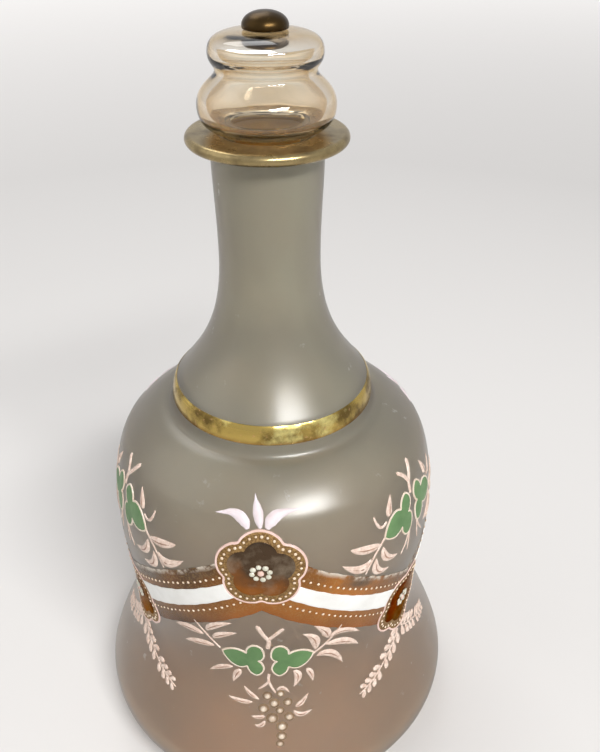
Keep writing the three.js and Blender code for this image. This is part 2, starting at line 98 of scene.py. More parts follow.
# %% Draw the wall's line
FOOT_RADIUS, FOOT_ROUND, FLARE_LEAN = 62.8, 13, math.radians(18)
WAIST_RADIUS, WAIST_HEIGHT = 50, 56.7
SHOULDER_RADIUS, SHOULDER_RISE = 52.3, 31.7
EDGE_RADIUS, EDGE_RISE = 46.2, 29.1
GROOVE_RADIUS, GROOVE_RISE = 33.3, 8.7
RING_RADIUS, RING_RISE, RING_BAND, RING_LEAN = 31.1, 3.8, 5.2, 0.22
NECK_RADIUS, NECK_RISE, NECK_FLARE = 14.5, 41.2, 0.8
LIP_RADIUS, LIP_THICKNESS, LIP_RISE = 21.7, 2.8, 34.1
SHOULDER_HEIGHT = WAIST_HEIGHT + SHOULDER_RISE
EDGE_HEIGHT = SHOULDER_HEIGHT + EDGE_RISE
GROOVE_HEIGHT = EDGE_HEIGHT + GROOVE_RISE
RING_HEIGHT = GROOVE_HEIGHT + RING_RISE
BAND_TOP = RING_HEIGHT + RING_BAND
NECK_HEIGHT = BAND_TOP + NECK_RISE
LIP_TOP = NECK_HEIGHT + LIP_RISE


def curve(line, leaving, arriving, end, steps=14):
    """Carries a line on to the end, by handles given from its last point and from the end."""
    corners = line[-1], np.add(line[-1], leaving), np.add(end, arriving), end
    line += [(p.x, p.y) for p in interpolate_bezier(*(Vector((*c, 0)) for c in corners), steps + 1)[1:]]


def arc(centre, radius, start, end, steps):
    angles = np.radians(np.linspace(start, end, steps + 1))
    return [(centre[0] + radius * math.cos(a), centre[1] + radius * math.sin(a)) for a in angles]


def wall_line():
    foot = FOOT_RADIUS - FOOT_ROUND
    line = arc((foot, FOOT_ROUND), FOOT_ROUND, -90, math.degrees(FLARE_LEAN), 24)
    rise = WAIST_HEIGHT - line[-1][1]
    curve(line, (-0.35 * rise * math.sin(FLARE_LEAN), 0.35 * rise * math.cos(FLARE_LEAN)),
          (0, -0.38 * rise), (WAIST_RADIUS, WAIST_HEIGHT), 18)
    swell = 0.35 * SHOULDER_RISE
    curve(line, (0, swell), (0, -swell), (SHOULDER_RADIUS, SHOULDER_HEIGHT))
    turn_in = SHOULDER_RADIUS - EDGE_RADIUS
    curve(line, (0, 0.45 * EDGE_RISE), (0.7 * turn_in, -0.15 * EDGE_RISE), (EDGE_RADIUS, EDGE_HEIGHT), 18)
    top = EDGE_RADIUS - GROOVE_RADIUS
    curve(line, (-0.25 * top, 0.4 * GROOVE_RISE), (0.34 * top, -0.03 * GROOVE_RISE),
          (GROOVE_RADIUS, GROOVE_HEIGHT), 12)
    step = GROOVE_RADIUS - RING_RADIUS
    curve(line, (-0.6 * step, 0.1 * RING_RISE), (0.15 * step, -0.5 * RING_RISE),
          (RING_RADIUS, RING_HEIGHT), 8)
    lean = RING_LEAN * RING_BAND
    line.append((RING_RADIUS - lean, BAND_TOP))
    cone = RING_RADIUS - NECK_RADIUS
    curve(line, (lean - 0.57 * cone, 0.25 * NECK_RISE), (0, -0.53 * NECK_RISE),
          (NECK_RADIUS, NECK_HEIGHT), 18)
    half, high = LIP_THICKNESS / 2, LIP_RISE - LIP_THICKNESS
    curve(line, (0, 0.4 * high), (0, half - 0.35 * high),
          (NECK_RADIUS + NECK_FLARE, LIP_TOP - 3 * half), 10)
    return line


WALL_LINE = np.array(wall_line())
print("the wall's line has", len(WALL_LINE), "points and ends at", WALL_LINE[-1])

# %% Wrap flat artwork on the wall
STEP = np.diff(WALL_LINE, axis=0)
LENGTH = np.concatenate([[0], np.cumsum(np.hypot(*STEP.T))])
LENGTH = LENGTH - LENGTH[np.abs(WALL_LINE[:, 1] - WAIST_HEIGHT).argmin()]
ALONG = np.gradient(WALL_LINE, LENGTH, axis=0)
ALONG = ALONG / np.hypot(*ALONG.T)[:, None]
PATTERN_RADIUS = (WAIST_RADIUS + SHOULDER_RADIUS) / 2


def on_wall(u, v, h):
    r, z, lean_r, lean_z = (np.interp(v, LENGTH, line) for line in (*WALL_LINE.T, *ALONG.T))
    r, z, angle = r + h * lean_z, z - h * lean_r, u / PATTERN_RADIUS
    return np.stack([r * np.sin(angle), -r * np.cos(angle), z], -1) * MM


def points_of(piece):
    flat = np.empty(3 * len(piece.data.vertices))
    piece.data.vertices.foreach_get("co", flat)
    return flat.reshape(-1, 3)


def set_points(piece, points):
    piece.data.vertices.foreach_set("co", np.asarray(points, dtype=float).ravel())
    piece.data.update()


def copied(motif, name):
    piece = motif.copy()
    piece.data = motif.data.copy()
    piece.name = piece.data.name = name
    bpy.context.collection.objects.link(piece)
    return piece


def laid(motif, name, u, v, upward=1, rightward=1):
    """Copies a flat motif, in millimetres, and wraps it on the wall with its middle at (u, v)."""
    piece = copied(motif, name)
    x, y, z = points_of(piece).T
    set_points(piece, on_wall(u + rightward * x, v + upward * y, z))
    if upward * rightward < 0:
        piece.data.flip_normals()
    return piece


def deselect():
    if bpy.context.object and bpy.context.object.mode != "OBJECT":
        bpy.ops.object.mode_set(mode="OBJECT")
    bpy.ops.object.select_all(action="DESELECT")


def choose(*pieces):
    deselect()
    for piece in pieces:
        piece.select_set(True)
    bpy.context.view_layer.objects.active = pieces[0]


def take_all():
    bpy.ops.mesh.select_all(action="SELECT")


def edit(piece):
    choose(piece)
    bpy.ops.object.mode_set(mode="EDIT")
    bpy.ops.mesh.select_mode(type="VERT")
    take_all()


def turn_outwards():
    take_all()
    bpy.ops.mesh.normals_make_consistent(inside=False)


def smooth(piece, degrees=50):
    choose(piece)
    bpy.ops.object.shade_smooth_by_angle(angle=math.radians(degrees))
    print(piece.name, "has", len(piece.data.polygons), "faces")
    return piece


def named(name):
    """What the last operator made, under its own name."""
    piece = bpy.context.object
    piece.name = piece.data.name = name
    return piece


def join_frame(piece, body, slot, *nodes):
    """A piece rides on a body and may stand for nodes of the plain model, which are hidden; its slot is not
    used.
    """
    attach(piece, body)
    if nodes:
        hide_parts(*nodes)


print("the wall is", round(LENGTH[-1] - LENGTH[0]), "mm long from foot to lip")

# %% [markdown]
# ## Turned glass
# A blown and turned form is the same all the way round, so half of its outline is drawn point by point and
# spun about the middle. The points at the seam and on the axis are merged afterwards, so that the skin is
# closed, and then the faces are turned outwards. The plain model has 36 flats, and this one has 144.


# %% Spin an outline
SEAM, TOO_NEAR = 2e-6, 0.97


def spun(name, outline, steps=144):
    deselect()
    bpy.ops.mesh.primitive_plane_add(size=0.001, location=(outline[0][0] * MM, 0, outline[0][1] * MM))
    bpy.ops.object.transform_apply(location=True)
    piece = named(name)
    edit(piece)
    bpy.ops.mesh.merge(type="CENTER")
    for (r0, z0), (r1, z1) in zip(outline, outline[1:]):
        move = ((r1 - r0) * MM, 0, (z1 - z0) * MM)
        bpy.ops.mesh.extrude_region_move(TRANSFORM_OT_translate={"value": move})
    take_all()
    bpy.ops.mesh.spin(steps=steps, angle=2 * math.pi, center=(0, 0, 0), axis=(0, 0, 1))
    take_all()
    bpy.ops.mesh.remove_doubles(threshold=SEAM)
    turn_outwards()
    return smooth(piece, 35)


def moved_in(line, thickness):
    """A line moved in along its normals, less what would come too near the line itself."""
    points = np.array(line)
    steps = np.diff(points, axis=0)
    steps = steps / np.hypot(*steps.T)[:, None]
    along = np.concatenate([steps[:1], steps[:-1] + steps[1:], steps[-1:]])
    along = along / np.hypot(*along.T)[:, None]
    inside = points + thickness * np.stack([-along[:, 1], along[:, 0]], -1)
    far = [np.hypot(*(points - p).T).min() > TOO_NEAR * thickness for p in inside]
    return [tuple(p) for p, keep in zip(inside, far) if keep]


# %% Blow the vessel
WALL, FLOOR, KICK_RADIUS, KICK_RISE = 3.2, 6, 38, 2.2
BORE_RADIUS, BORE_LENGTH, SEAT_LENGTH, SEAT_TAPER, MOUTH_ROUND = 11.2, 46, 26, 0.9, 1


def seat_radius(z):
    return BORE_RADIUS + SEAT_TAPER * min(max((z - LIP_TOP + SEAT_LENGTH) / SEAT_LENGTH, 0), 1)


def lip_edge(gap, start, end):
    half = LIP_THICKNESS / 2
    return arc((LIP_RADIUS - half, LIP_TOP - half), half + gap, start, end, 14)


bore_end = LIP_TOP - BORE_LENGTH
chamber = [p for p in moved_in(WALL_LINE, WALL) if FLOOR + 1 < p[1] < bore_end - WALL]
mouth = seat_radius(LIP_TOP)
vessel_line = [
    (0, KICK_RISE), (0.6 * KICK_RADIUS, 0.7 * KICK_RISE), (KICK_RADIUS, 0), *WALL_LINE,
    *lip_edge(0, -70, 90), *arc((mouth + MOUTH_ROUND, LIP_TOP - MOUTH_ROUND), MOUTH_ROUND, 90, 180, 4),
    (BORE_RADIUS, LIP_TOP - SEAT_LENGTH), (BORE_RADIUS, bore_end), *chamber[::-1],
    (chamber[0][0] - WALL, FLOOR), (0, FLOOR),
]
vessel = spun("Glass_vessel", vessel_line)
join_frame(vessel, "carafe", "frosted_glass", "vessel")

# %% [markdown]
# ## The stopper
# It is blown hollow: a peg that is ground to fit the neck, a full lower bulge, a waist and a smaller upper
# bulge. The bubble inside shows through the clear glass, so the inner wall is modelled too. A flat gilt knob
# sits on top.

# %% Blow the stopper
PEG_CLEARANCE, PEG_LENGTH, PEG_END_RADIUS, PEG_END_ROUND, VENT_RADIUS = 0.3, 41.5, 8.4, 3, 4
STOPPER_WALL, BOWL_RADIUS, BOWL_HEIGHT, STOPPER_WAIST = 2.6, 18.1, 14.6, 13.1
CAP_RADIUS, CAP_HEIGHT, KNOB_RADIUS, KNOB_HEIGHT = 14.7, 9.2, 5.9, 4.3
PEG_END = LIP_TOP - PEG_LENGTH
BOWL_LIFT, KNOB_EDGE = 0.85, 0.5
BOWL_FOOT = LIP_TOP + BOWL_LIFT
WAIST_UP = BOWL_FOOT + BOWL_HEIGHT
CAP_TOP = WAIST_UP + CAP_HEIGHT


def stopper_line():
    bulge = BOWL_RADIUS - STOPPER_WAIST
    line = arc((PEG_END_RADIUS - PEG_END_ROUND, PEG_END + PEG_END_ROUND), PEG_END_ROUND, -90, 0, 6)
    for z in (LIP_TOP - SEAT_LENGTH, LIP_TOP - MOUTH_ROUND):
        line.append((seat_radius(z) - PEG_CLEARANCE, z))
    line.append((mouth - PEG_CLEARANCE, BOWL_FOOT))
    curve(line, (BOWL_RADIUS - line[-1][0] - 0.35 * bulge, 0), (0, -0.24 * BOWL_HEIGHT),
          (BOWL_RADIUS, BOWL_FOOT + 0.42 * BOWL_HEIGHT))
    curve(line, (0, 0.33 * BOWL_HEIGHT), (0, -0.14 * BOWL_HEIGHT), (STOPPER_WAIST, WAIST_UP))
    curve(line, (0, 0.15 * CAP_HEIGHT), (0, -0.28 * CAP_HEIGHT), (CAP_RADIUS, WAIST_UP + 0.48 * CAP_HEIGHT))
    seat = KNOB_RADIUS - KNOB_EDGE
    curve(line, (0, 0.42 * CAP_HEIGHT), (0.75 * CAP_RADIUS - seat, 0), (seat, CAP_TOP))
    return line


outside = stopper_line()
inner = moved_in(outside, STOPPER_WALL)
hollow = [p for p in inner if p[1] > PEG_END + PEG_END_ROUND and p[0] > VENT_RADIUS]
stopper_outline = [(VENT_RADIUS, PEG_END)] + outside + [(0, CAP_TOP), (0, CAP_TOP - STOPPER_WALL)]
stopper_outline += hollow[::-1] + [(VENT_RADIUS, PEG_END + STOPPER_WALL), (VENT_RADIUS, PEG_END)]
stopper = spun("Stopper_glass", stopper_outline, 112)
join_frame(stopper, "stopper", "clear_glass", "stopper_glass")

# %% Press the knob
knob_foot = CAP_TOP + PEG_CLEARANCE
knob_line = [(0, knob_foot), (0.9 * KNOB_RADIUS, knob_foot)]
curve(knob_line, (0.1 * KNOB_RADIUS, 0), (0, -0.15 * KNOB_HEIGHT),
      (KNOB_RADIUS, knob_foot + 0.25 * KNOB_HEIGHT), 6)
curve(knob_line, (-0.05 * KNOB_RADIUS, 0.45 * KNOB_HEIGHT), (0.55 * KNOB_RADIUS, 0),
      (0, knob_foot + KNOB_HEIGHT), 12)
knob = spun("Stopper_knob", knob_line, 64)
join_frame(knob, "stopper", "knob_gilding", "stopper_knob")

# %% [markdown]
# ## Gilding on the neck
# Leaf-thin gold is brushed on and fired. It is far thinner than the plain model's plates, so each band is
# spun again as a film a tenth of a millimetre thick that lies on the glass. On the collar it swells a little
# in the middle, where the gold was laid on thickest.

# %% Gild the lip and the collar
FILM, FILM_LIFT, GILT_UNDER, GILT_INSIDE = 0.1, 0.02, -58, 1.4
RING_START, RING_OVER, RING_SWELL = 0.2, 0.6, 0.28
lip_out = lip_edge(FILM_LIFT + FILM, GILT_UNDER, 90)
lip_in = lip_edge(FILM_LIFT, GILT_UNDER, 90)[::-1]
lip_end = mouth + GILT_INSIDE
lip_line = lip_out + [(lip_end, lip_out[-1][1]), (lip_end, lip_in[0][1])] + lip_in + lip_out[:1]
lip_gold = spun("Lip_gilding", lip_line)
heights = np.linspace(RING_HEIGHT + RING_START, BAND_TOP + RING_OVER, 9)
band = list(zip(np.interp(heights, WALL_LINE[:, 1], WALL_LINE[:, 0]), heights))
swell = RING_SWELL * np.sin(np.linspace(0, math.pi, len(band)))
band_out = [(r + FILM_LIFT + FILM + more, z) for (r, z), more in zip(band, swell)]
band_in = [(r + FILM_LIFT, z) for r, z in band][::-1]
ring_gold = spun("Neck_ring_gilding", band_out + band_in + band_out[:1])
join_frame(lip_gold, "carafe", "gilding", "lip_gilding")
join_frame(ring_gold, "carafe", "gilding", "neck_ring_gilding")

# %% [markdown]
# ## The ribbon
# A broad zigzag of copper-brown gold goes once round the body. It starts as a flat grid, whose columns are
# slid up and down to follow the zigzag, is wrapped on the wall, joined at its ends and given a film's
# thickness. The grid's own map, along and across, is kept for the gold's worn edges.

# %% Lay the ribbon
REPEATS = 3
PATTERN_MIDDLE, MEDALLION_RISE, RIBBON_DROP = 25.4, 38.2, 3
MEDALLION_RADIUS, MEDALLION_NOTCH = 13.7, 11.7
RIBBON_WHITE, RIBBON_ABOVE, RIBBON_BELOW, RIBBON_FILM = 6.2, 7, 7.8, 0.08
REACH = math.pi * PATTERN_RADIUS / REPEATS
RIBBON_RISE = MEDALLION_RISE - 2 * RIBBON_DROP
LEAN = math.atan2(RIBBON_RISE, REACH)
COS, SIN = math.cos(LEAN), math.sin(LEAN)
medallions = []
for i in range(2 * REPEATS):
    side = -1 if i % 2 else 1
    place = f"{'high' if side > 0 else 'low'}_{i // 2 + 1}"
    medallions.append((place, i * REACH, PATTERN_MIDDLE + side * MEDALLION_RISE / 2, side))


def ribbon_height(u):
    share = np.abs((u + REACH) % (2 * REACH) - REACH) / REACH
    return PATTERN_MIDDLE + RIBBON_RISE * (0.5 - share)


deselect()
bpy.ops.mesh.primitive_grid_add(x_subdivisions=432, y_subdivisions=16, size=1)
ribbon = named("Ribbon_gilding")
x, y, _ = points_of(ribbon).T
u, t = (x + 0.5) * 2 * REPEATS * REACH, y + 0.5
tall = 1 / COS
low, up = (RIBBON_WHITE / 2 + RIBBON_BELOW) * tall, (RIBBON_WHITE / 2 + RIBBON_ABOVE) * tall
wave = 0.12 * np.sin(u * 0.61) + 0.1 * np.sin(u * 1.47 + 1)
v = ribbon_height(u) - low + (low + up) * t + wave * np.abs(2 * t - 1)
set_points(ribbon, on_wall(u, v, FILM_LIFT))
edit(ribbon)
bpy.ops.mesh.remove_doubles(threshold=SEAM)
choose(ribbon)
film = ribbon.modifiers.new("Film", "SOLIDIFY")
film.thickness, film.offset = RIBBON_FILM * MM, 1
bpy.ops.object.modifier_apply(modifier="Film")
smooth(ribbon, 35)
join_frame(ribbon, "carafe", "bronze_gilding", "ribbon_gilding")

# %% [markdown]
# ## Tools for enamel
# Enamel is painted as thick paste, so a brush stroke stands up from the glass, round on top and flat below.
# A stroke is drawn as a curve whose thickness changes along it, made a mesh, and pressed flat underneath. A
# filled shape, such as a leaf, is a disc whose rim is moved to the shape's outline, then extruded and cut
# into small cells, so that it can bend round the wall. A bead is half a ball, and it keeps how high each of
# its points is, for the painted shade round its foot. All artwork is drawn flat, in millimetres, once, and
# copied to its places.


# %% Paint strokes and plates
SUNK, ART_SEAM, STROKE_EDGE, STROKE_ROUND, CUT_SHIFT = -0.02, 1e-4, 0.01, 0.6, 0.013


def strokes(name, lines, height=0.34, closed=False, resolution=5):
    """Each line is a list of (x, y, half width)."""
    deselect()
    bpy.ops.curve.primitive_bezier_curve_add()
    art = named(name)
    art.data.splines.clear()
    for line in lines:
        spline = art.data.splines.new("BEZIER")
        spline.bezier_points.add(len(line) - 1)
        for point, (px, py, width) in zip(spline.bezier_points, line):
            point.co, point.radius = (px, py, 0), width
            point.handle_left_type = point.handle_right_type = "AUTO"
        spline.use_cyclic_u, spline.resolution_u = closed, resolution
    art.data.dimensions, art.data.twist_mode = "3D", "Z_UP"
    art.data.bevel_depth, art.data.bevel_resolution, art.data.use_fill_caps = 1, 2, True
    bpy.ops.object.convert(target="MESH")
    art = bpy.context.object
    points = points_of(art)
    rise = points[:, 2]
    points[:, 2] = np.where(rise > STROKE_EDGE, height * np.abs(rise) ** STROKE_ROUND, SUNK)
    set_points(art, points)
    edit(art)
    bpy.ops.mesh.remove_doubles(threshold=ART_SEAM)
    turn_outwards()
    return smooth(art)


def plate(name, outline, low, high, bevel=0.1, cell=2):
    deselect()
    bpy.ops.mesh.primitive_circle_add(vertices=len(outline), fill_type="NGON")
    art = named(name)
    set_points(art, [(x, y, low) for x, y in outline])
    edit(art)
    bpy.ops.mesh.extrude_region_move(TRANSFORM_OT_translate={"value": (0, 0, high - low)})
    bpy.ops.mesh.bevel(offset=bevel, segments=2, affect="EDGES")
    cells = math.floor(np.abs(outline).max() / cell)
    for k in np.arange(-cells, cells + 1) * cell + CUT_SHIFT:
        for normal in ((1, 0, 0), (0, 1, 0)):
            take_all()
            bpy.ops.mesh.bisect(plane_co=(k, k, 0), plane_no=normal)
    turn_outwards()
    bpy.ops.mesh.quads_convert_to_tris(ngon_method="BEAUTY")
    return smooth(art)


def bead(name, radius, height, segments=10, rings=6):
    deselect()
    bpy.ops.mesh.primitive_uv_sphere_add(segments=segments, ring_count=rings, radius=radius)
    art = named(name)
    edit(art)
    bpy.ops.transform.resize(value=(1, 1, height / radius))
    bpy.ops.mesh.bisect(plane_co=(0, 0, SUNK), plane_no=(0, 0, 1), use_fill=True, clear_inner=True)
    smooth(art)
    rise = art.data.attributes.new("Rise", "FLOAT", "POINT")
    rise.data.foreach_set("value", points_of(art)[:, 2] / height)
    return art


def dotted(name, seed_bead, spots, lift=0):
    """Copies one bead to every spot, (x, y, size), and joins the copies."""
    copies = []
    for x, y, size in spots:
        copies.append(copied(seed_bead, name))
        set_points(copies[-1], points_of(seed_bead) * size + (x, y, lift))
    choose(*copies)
    bpy.ops.object.join()
    print(name, "has", len(spots), "beads")
    return named(name)


painted = {}
SLOTS = {"stripe": "white_enamel", "flower": "white_enamel", "leaf": "green_enamel",
         "band": "bronze_gilding", "field": "bronze_gilding"}


def finish_piece(piece, kind, *nodes):
    """Keeps a painted piece with its kind until the finishes are made."""
    join_frame(piece, "carafe", SLOTS.get(kind, "blush_enamel"), *nodes)
    painted.setdefault(kind, []).append(piece)


# %% [markdown]
# ## The white stripes and their beads
# Between two medallions the ribbon carries a stripe of white enamel. It is hollowed at both ends to clear
# the medallions' rims and grows a little broader downhill, as it was painted by hand. A row of small beads
# runs along each side of it.

# %% Paint the stripes
LOBES = 5
RIM_INSET, STRIPE_HALF, STRIPE_GROWTH = 0.3, 2.75, 0.65
STRIPE_LIFT, STRIPE_THICK, STRIPE_BEVEL = 0.05, 0.3, 0.12
stretch = REACH / COS


def lobes(inset, steps=12):
    """Five round lobes, each an arc from notch to notch."""
    notch, reach, half = MEDALLION_NOTCH - inset, MEDALLION_RADIUS - inset, math.pi / LOBES
    centre = (reach ** 2 - notch ** 2) / (2 * (reach - notch * math.cos(half)))
    spread = math.atan2(notch * math.sin(half), notch * math.cos(half) - centre)
    points = []
    for k in range(LOBES):
        axis = math.pi / 2 + 2 * half * k
        for s in range(steps):
            angle = axis - spread + 2 * spread * s / steps
            points.append((centre * math.cos(axis) + (reach - centre) * math.cos(angle),
                           centre * math.sin(axis) + (reach - centre) * math.sin(angle)))
    return points


rim_points = np.array(lobes(RIM_INSET, 60)) + (0, RIBBON_DROP)
rim_along, rim_across = rim_points @ (COS, -SIN), rim_points @ (SIN, COS)


def way_out(across):
    """How far along the ribbon's line a rim lies, at a distance across it."""
    return rim_along[np.where(rim_along > 0, np.abs(rim_across - across), 99).argmin()]


def downhill(along, across):
    """Turns lengths along and across the leaning ribbon into x and y."""
    return along * COS + across * SIN, across * COS - along * SIN


deselect()
bpy.ops.mesh.primitive_grid_add(x_subdivisions=48, y_subdivisions=6, size=1)
stripe_art = named("Stripe artwork")
x, y, _ = points_of(stripe_art).T
share, t = x + 0.5, 2 * y
shake = 0.07 * np.sin(37 * share) + 0.05 * np.sin(61 * share + y * 3)
across = t * (STRIPE_HALF + STRIPE_GROWTH * share + shake)
start = np.array([way_out(RIBBON_WHITE / 2 * k) for k in t])
end = np.array([way_out(-RIBBON_WHITE / 2 * k) for k in t])
along = start + (stretch - start - end) * share
set_points(stripe_art, np.stack([*downhill(along, across), 0 * x + STRIPE_LIFT], -1))
edit(stripe_art)
bpy.ops.mesh.extrude_region_move(TRANSFORM_OT_translate={"value": (0, 0, STRIPE_THICK)})
bpy.ops.mesh.bevel(offset=STRIPE_BEVEL, segments=2, affect="EDGES")
turn_outwards()
smooth(stripe_art)

# %% Lay the stripes and string the ribbon's beads
BEAD_PITCH, BEADS_OFF, RIM_CLEAR, ROW_START, ROW_END = 2.3, 2.45, 1.4, 5.4, 5.6


def lay_along(art, name, kind, *nodes):
    """One copy for each bay, every second one turned over, where the ribbon climbs."""
    for i, (_, u, v, side) in enumerate(medallions):
        shift = (0, 0) if side > 0 else (REACH, RIBBON_RISE)
        piece = laid(art, f"{name}_{i + 1}", u + shift[0], v - side * RIBBON_DROP + shift[1], 1, side)
        finish_piece(piece, kind, *(f"{node}_{i + 1}" for node in nodes))


lay_along(stripe_art, "Ribbon_stripe", "stripe", "ribbon_stripe")
small_bead = bead("Small bead", 0.46, 0.34, 8, 6)
random.seed(4)
spots = []
for out in (1, -1):
    first, last = way_out(ROW_START * out) + RIM_CLEAR, way_out(-ROW_END * out) + RIM_CLEAR
    count = round((stretch - first - last) / BEAD_PITCH)
    for k in range(count + 1):
        share = k / count
        along = first + (stretch - first - last) * share
        across = out * (STRIPE_HALF + STRIPE_GROWTH * share + BEADS_OFF) + random.uniform(-0.09, 0.09)
        along += random.uniform(-0.16, 0.16)
        spots.append((*downhill(along, across), random.uniform(0.85, 1.12)))
lay_along(dotted("Bead row artwork", small_bead, spots, 0.1), "Ribbon_beads", "beads")

# %% [markdown]
# ## The medallions
# Each has a ground of gold in two finishes: a grainy matt band under a ring of beads, and a burnished field
# in the middle. A raised pinkish rim follows the five lobes, and a flower of nine beads sits in the middle.
# Three feathers spring from the top of a high one. The low ones stand on their heads and have none.


# %% Gild and bead the medallions
BAND_INSET, RING_INSET, FIELD_INSET = 0.5, 2.05, 3.7
BAND_LAYER, FIELD_LAYER, LAYER_BEVEL = (0.04, 0.26), (0.2, 0.33), 0.05
RIM_HALF, RIM_HEIGHT, RING_BEADS, RING_LIFT = 0.42, 0.62, 38, 0.27
band_art = plate("Medallion band artwork", lobes(BAND_INSET), *BAND_LAYER, LAYER_BEVEL)
field_art = plate("Medallion field artwork", lobes(FIELD_INSET), *FIELD_LAYER, LAYER_BEVEL)
rim_line = [(x, y, RIM_HALF) for x, y in lobes(RIM_HALF, 10)]
rim_art = strokes("Medallion rim artwork", [rim_line], RIM_HEIGHT, True, 2)
ring = lobes(RING_INSET, 40)
lengths = np.concatenate([[0], np.cumsum([math.dist(a, b) for a, b in zip(ring, ring[1:] + ring[:1])])])
spots = []
for k in range(RING_BEADS):
    j = int(np.searchsorted(lengths, lengths[-1] * (k + 0.5) / RING_BEADS)) % len(ring)
    spots.append((*(c + random.uniform(-0.12, 0.12) for c in ring[j]), random.uniform(0.9, 1.2)))
ring_art = dotted("Medallion beads artwork", small_bead, spots, RING_LIFT)
flower_bead = bead("Flower bead", 0.95, 0.6, 12, 8)
FLOWER_WIDE, FLOWER_TALL, FLOWER_MIDDLE = 2.55, 2.2, -0.4
spots = [(FLOWER_WIDE * math.cos(a), FLOWER_MIDDLE + FLOWER_TALL * math.sin(a), random.uniform(0.9, 1.05))
         for a in (math.pi * (2 * k + 0.6) / 8 for k in range(8))]
flower_art = dotted("Flower artwork", flower_bead, spots, FIELD_LAYER[1])
heart_art = dotted("Flower heart artwork", flower_bead, [(0, FLOWER_MIDDLE, 1.1)], FIELD_LAYER[1])
FEATHERS = [
    [(-3.9, 13.5, 0.6), (-4.7, 15.2, 1.56), (-6.6, 16.9, 1.68),
     (-9.4, 17.7, 1.02), (-12, 17.3, 0.48), (-14.3, 16.9, 0.12)],
    [(-0.1, 13.9, 0.48), (-0.5, 15.8, 1.32), (-1, 18.2, 1.68),
     (-1.6, 20.4, 1.14), (-2, 22, 0.42), (-2.3, 23.6, 0.12)],
    [(1.9, 13.8, 0.72), (2.9, 15.8, 1.86), (4.6, 17.4, 1.8),
     (7.2, 18.3, 1.08), (10.2, 18.7, 0.48), (13.9, 18.9, 0.12)],
]
feather_art = strokes("Feathers artwork", FEATHERS, 0.36, False, 6)
for place, u, v, side in medallions:
    parts = [
        (band_art, "band"),
        (field_art, "field", f"medallion_plaque_{place}"),
        (rim_art, "rim", f"medallion_rim_{place}"),
        (ring_art, "beads"),
        (flower_art, "flower", f"medallion_rosette_{place}"),
        (heart_art, "flower_heart"),
    ]
    if side > 0:
        parts.append((feather_art, "feathers"))
    for art, kind, *node in parts:
        finish_piece(laid(art, f"Medallion_{place}_{kind}", u, v, side), kind, *node)
print("six medallions are laid")

# %% [markdown]
# ## The leaves and sprays
# A pair of three-lobed green leaves with a cream outline hangs in each bay of the zigzag. Stems with curled
# leaves run from their tips to the ribbon. Under a high medallion a bunch of grapes hangs below the leaves,
# each on a brown ground that shows as a ring, partly brown paint and partly painted shade round the grape.
# Over a low one there are only short tendrils. Each low medallion also has two leafy fronds at its foot.

# %% Draw a leaf
LEAF_RUNS = [
    [(-14.8, 2.1), (-13, 3.6), (-10.5, 4.5), (-8.3, 4.1), (-6.8, 3.1)],
    [(-6.8, 3.1), (-6.6, 5), (-5.4, 6.8), (-3.8, 7.4), (-2.1, 6.5),
     (-1.2, 4.2), (-1.1, 1.6), (-1.9, 0), (-2.9, -0.5)],
    [(-2.9, -0.5), (-1.8, -1.8), (-1.2, -4.1), (-1.9, -6.2),
     (-3.6, -7.4), (-5.4, -6.5), (-6.4, -4.9), (-6.7, -3.5)],
    [(-6.7, -3.5), (-8.6, -4.4), (-10.8, -3.9), (-12.8, -2.2), (-14.2, 0.1), (-14.8, 2.1)],
]


def through(run, steps=4):
    """A smooth line through a run's points."""
    p = [Vector(q) for q in [run[0]] + run + [run[-1]]]
    line = []
    for a, b, c, d in zip(p, p[1:], p[2:], p[3:]):
        for k in range(steps):
            t = k / steps
            bend, twist = 2 * a - 5 * b + 4 * c - d, 3 * b - a - 3 * c + d
            q = 0.5 * (2 * b + (c - a) * t + bend * t * t + twist * t ** 3)
            line.append((q.x, q.y))
    return line


leaf_line = [q for run in LEAF_RUNS for q in through(run)]


def inset(line, amount):
    points = np.array(line)
    along = np.roll(points, -1, 0) - np.roll(points, 1, 0)
    along = along / np.hypot(*along.T)[:, None]
    return [tuple(q) for q in points + amount * np.stack([along[:, 1], -along[:, 0]], -1)]


LEAF_INSET, LEAF_THICK, OUTLINE_INSET, OUTLINE_HALF, OUTLINE_HEIGHT = 0.3, 0.24, 0.1, 0.36, 0.56
leaf_art = plate("Leaf artwork", inset(leaf_line, LEAF_INSET)[::-1], 0, LEAF_THICK, 0.08)
outline_line = [(x, y, OUTLINE_HALF) for x, y in inset(leaf_line, OUTLINE_INSET)]
outline = strokes("Leaf outline artwork", [outline_line], OUTLINE_HEIGHT, True, 1)
print("the leaf's outline has", len(leaf_line), "points")

# %% Lay the leaves
LEAF_BELOW, LEAF_ABOVE, LEAF_SHIFT = 41.1, 41, 1


def bay_middle(u, v, side):
    """Where a pair of leaves meets, under a high medallion or over a low one."""
    return (u + LEAF_SHIFT, v - LEAF_BELOW) if side > 0 else (u, v + LEAF_ABOVE)


for place, u, v, side in medallions:
    middle = bay_middle(u, v, side)
    for hand, label in ((1, "left"), (-1, "right")):
        leaf = laid(leaf_art, f"Leaf_{label}_{place}", *middle, side, hand)
        finish_piece(leaf, "leaf", f"leaf_{label}_{place}")
        finish_piece(laid(outline, f"Leaf_outline_{label}_{place}", *middle, side, hand), "outline")
print("twelve leaves are laid")

# %% Draw the sprays
LEAFLET_POINT, LEAFLET_HALF, LEAFLET_FULL, VEIN_LIFT = 0.1, 1.3, 0.8, 0.3


def along_leaf(base, middle, tip, t):
    """A place on the curve from a leaf's base to its tip."""
    base, middle, tip = np.array((base, middle, tip))
    pull = 2 * middle - (base + tip) / 2
    return (1 - t) ** 2 * base + 2 * t * (1 - t) * pull + t * t * tip


